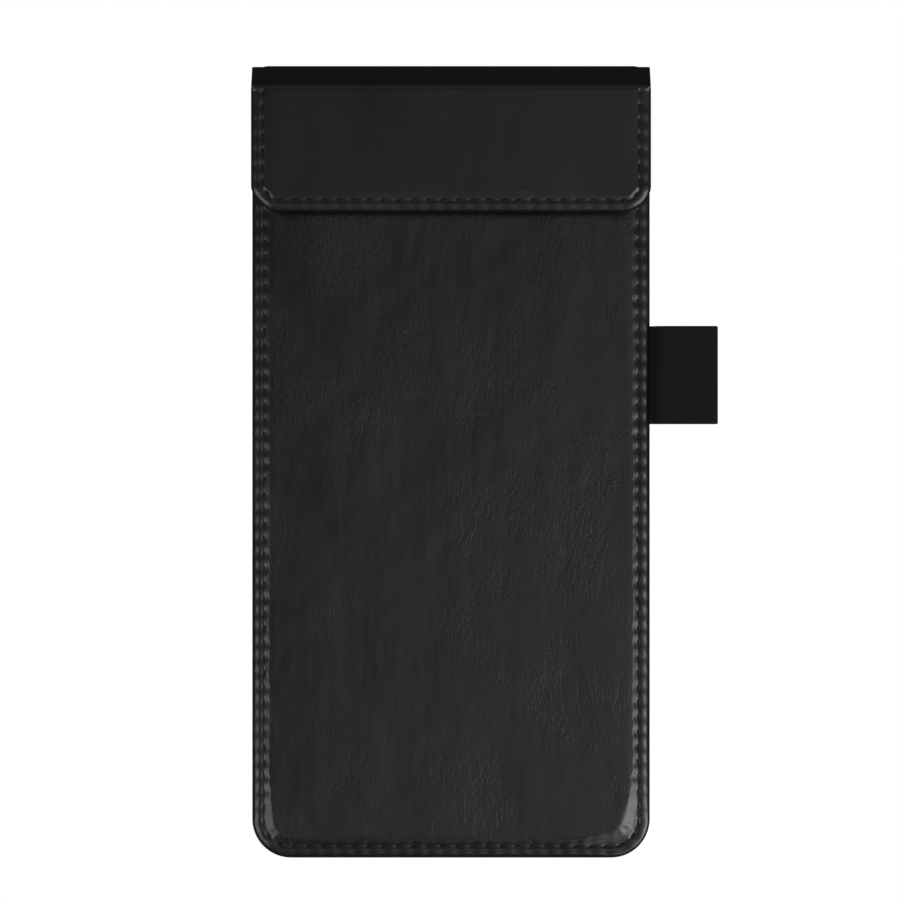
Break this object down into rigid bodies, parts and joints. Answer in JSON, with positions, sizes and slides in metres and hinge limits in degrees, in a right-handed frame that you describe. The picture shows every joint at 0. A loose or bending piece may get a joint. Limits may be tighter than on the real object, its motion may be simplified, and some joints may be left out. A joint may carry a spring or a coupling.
{
  "type": "order pad holder",
  "caption": "Slim padded leather holder for a tall order pad: stitched stiff board, a short magnetic flap folded over the top end, and an elastic pen loop on one long edge.",
  "frame": {"origin": "middle of the flat back face that the holder lies on", "axes": "+Z from the back face to the side that carries the pad, +Y along the length towards the fold and the flap, +X towards the edge with the pen loop"},
  "size_m": [0.1354, 0.23, 0.0084],
  "materials": {
    "outer_leather": "satin",
    "lining_leather": "satin",
    "thread": "matte",
    "webbing": "matte",
    "board": "matte",
    "foam": "matte",
    "steel": "satin",
    "magnet": "satin"
  },
  "bodies": {
    "root": {"core_board": "board", "strike_plate": "steel", "foam_pad": "foam", "front_cover": "outer_leather", "back_cover": "outer_leather", "gutter_lining": "lining_leather", "pen_loop_anchor": "webbing", "front_stitching": "thread", "back_stitching": "thread"},
    "spine": {"spine_cover": "outer_leather", "spine_lining": "lining_leather"},
    "flap": {"flap_board": "board", "flap_magnets": "magnet", "flap_cover": "outer_leather", "flap_lining": "lining_leather", "flap_front_stitching": "thread", "flap_back_stitching": "thread"},
    "pen_loop": {"pen_loop": "webbing"}
  },
  "joints": [
    {"name": "spine_fold", "type": "hinge", "parent": "root", "child": "spine", "pos_m": [0, 0.1142, 0.0008], "axis": [-1, 0, 0], "range_deg": [0, 128.9]},
    {"name": "flap_fold", "type": "hinge", "parent": "spine", "child": "flap", "pos_m": [0, 0.1087, 0.0076], "axis": [-1, 0, 0], "range_deg": [0, 51]},
    {"name": "pen_loop_swing", "type": "hinge", "parent": "root", "child": "pen_loop", "pos_m": [0.0583, 0.025, 0.0016], "axis": [0, 1, 0], "range_deg": [-45, 45], "stiffness_Nm_per_rad": 0.006}
  ]
}
